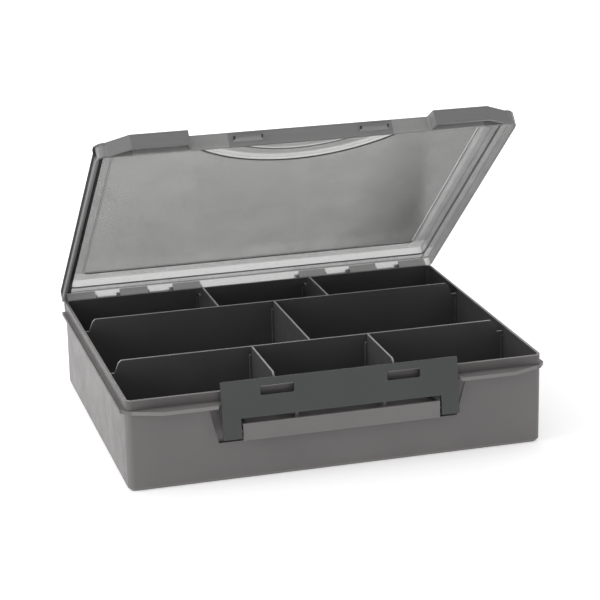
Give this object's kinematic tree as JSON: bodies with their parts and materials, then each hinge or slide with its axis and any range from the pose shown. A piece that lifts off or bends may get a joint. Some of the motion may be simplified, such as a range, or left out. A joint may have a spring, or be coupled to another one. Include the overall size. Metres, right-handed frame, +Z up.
{
  "type": "parts sorting tray",
  "caption": "Flat case for sorting small parts, with lift-out dividers, a smoky hinged lid shown part open, and a swinging front latch over a grip rail.",
  "frame": {"origin": "centre of the flat underside, on the surface that the tray stands on", "axes": "+Z up, +X to the right seen from the front, front with the latch towards -Y"},
  "size_m": [0.3676, 0.3151, 0.2832],
  "materials": {
    "tray_plastic": "moulded polypropylene, fine matt texture, warm grey",
    "rail_plastic": "moulded polypropylene, fine matt texture, warm grey",
    "lid_smoke": "translucent smoky plastic, satin",
    "latch_plastic": "moulded plastic, satin, dark green-grey",
    "divider_plastic": "moulded plastic, satin, charcoal",
    "pin_steel": "drawn steel wire"
  },
  "bodies": {
    "tray": {"tray_body": "tray_plastic", "grip_rail": "rail_plastic", "hinge_pin_left": "pin_steel", "hinge_pin_right": "pin_steel", "latch_pin_left": "pin_steel", "latch_pin_right": "pin_steel", "long_divider_front": "divider_plastic", "long_divider_back": "divider_plastic", "short_divider_back_left": "divider_plastic", "short_divider_back_right": "divider_plastic", "short_divider_middle": "divider_plastic", "short_divider_front_left": "divider_plastic", "short_divider_front_right": "divider_plastic"},
    "lid": {"lid_shell": "lid_smoke"},
    "latch": {"latch_plate": "latch_plastic"}
  },
  "joints": [
    {"name": "lid_hinge", "type": "hinge", "parent": "tray", "child": "lid", "pos_m": [0, 0.1555, 0.075], "axis": [-1, 0, 0], "range_deg": [-40, 70]},
    {"name": "latch_hinge", "type": "hinge", "parent": "tray", "child": "latch", "pos_m": [0, -0.1495, 0.0445], "axis": [1, 0, 0], "range_deg": [0, 150]}
  ]
}
